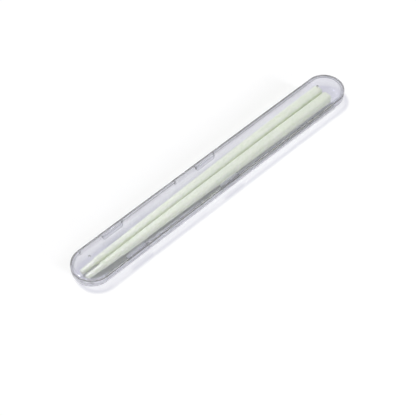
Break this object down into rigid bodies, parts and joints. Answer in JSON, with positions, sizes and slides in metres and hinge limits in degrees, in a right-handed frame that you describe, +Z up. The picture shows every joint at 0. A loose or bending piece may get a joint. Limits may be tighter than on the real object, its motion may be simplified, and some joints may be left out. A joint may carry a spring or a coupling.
{
  "type": "portable chopstick case",
  "caption": "Slim clear round-ended travel case with a slide-lock lid, holding a pair of pale green chopsticks.",
  "frame": {"origin": "centre of the closed case's footprint, on the surface that it lies on", "axes": "+X along the case towards the chopsticks' butts, +Y across it to the far side in the picture, +Z up through the lid"},
  "size_m": [0.213, 0.0242, 0.0093],
  "materials": {
    "clear_tray": "clear gloss moulded plastic",
    "clear_lid": "clear gloss moulded plastic",
    "pale_green_plastic": "satin moulded plastic"
  },
  "bodies": {
    "tray": {"tray": "clear_tray"},
    "lid": {"lid": "clear_lid"},
    "chopstick_far": {"chopstick_far": "pale_green_plastic"},
    "chopstick_near": {"chopstick_near": "pale_green_plastic"}
  },
  "joints": [
    {"name": "lid_slide", "type": "slide", "parent": "tray", "child": "lid", "axis": [-1, 0, 0], "range_m": [0, 0.0155]},
    {"name": "chopstick_far_slide", "type": "slide", "parent": "tray", "child": "chopstick_far", "axis": [1, 0, 0], "range_m": [-0.0024, 0.008]},
    {"name": "chopstick_near_slide", "type": "slide", "parent": "tray", "child": "chopstick_near", "axis": [1, 0, 0], "range_m": [-0.0024, 0.008]}
  ]
}
